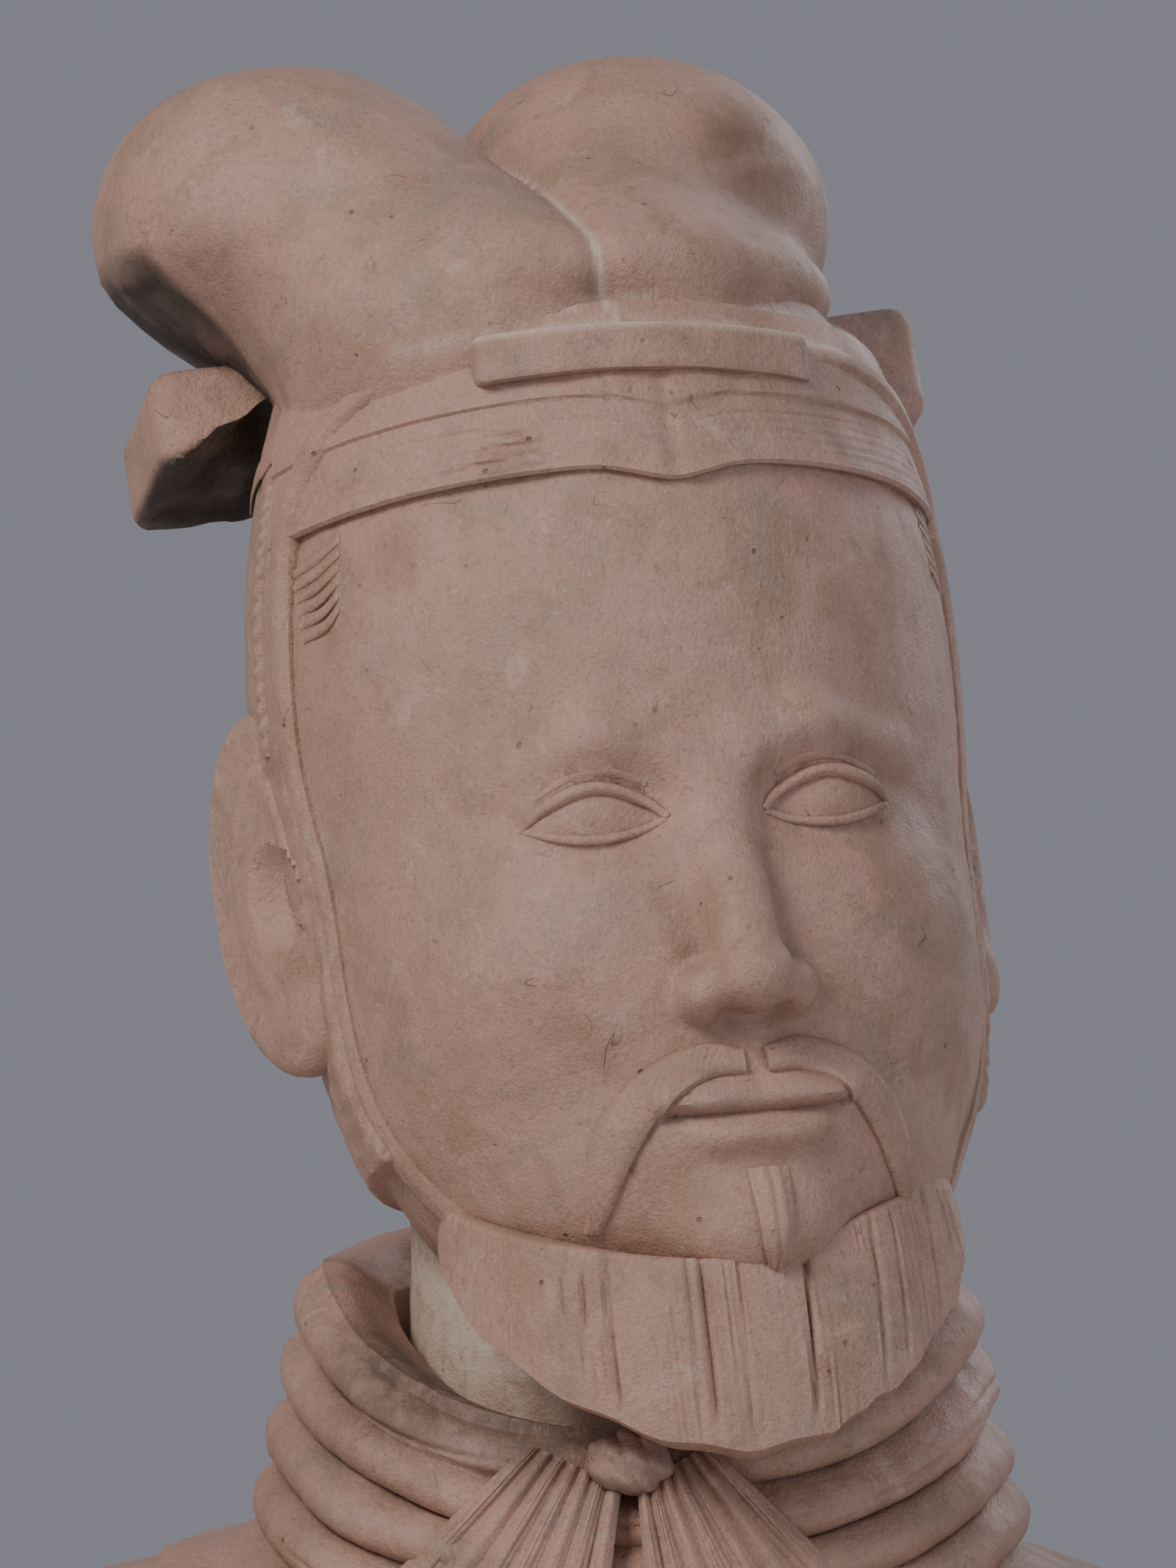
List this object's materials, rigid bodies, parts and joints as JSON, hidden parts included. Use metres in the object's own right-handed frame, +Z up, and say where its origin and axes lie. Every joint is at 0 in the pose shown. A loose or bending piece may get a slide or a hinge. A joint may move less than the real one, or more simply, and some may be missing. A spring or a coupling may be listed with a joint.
{
  "type": "terracotta warrior bust",
  "caption": "Life-size fired-clay bust: bearded head in a tall two-lobed cap, resting by its neck in a scarf-wrapped collar above shoulders cut flat below.",
  "frame": {"origin": "centre of the flat underside that the bust stands on", "axes": "+Z up, -Y out of the chest, +X to the viewer's right; the head is turned towards +X"},
  "size_m": [0.4144, 0.2307, 0.5132],
  "materials": {
    "head_clay": "burnished fired clay, pinkish tan with brown stains, pale slip on the ridges, semi-matt",
    "shoulder_clay": "fired clay, pinkish tan, dirt in the folds and on the collar's top, matt"
  },
  "bodies": {
    "root": {"head": "head_clay", "shoulders": "shoulder_clay"}
  },
  "joints": []
}
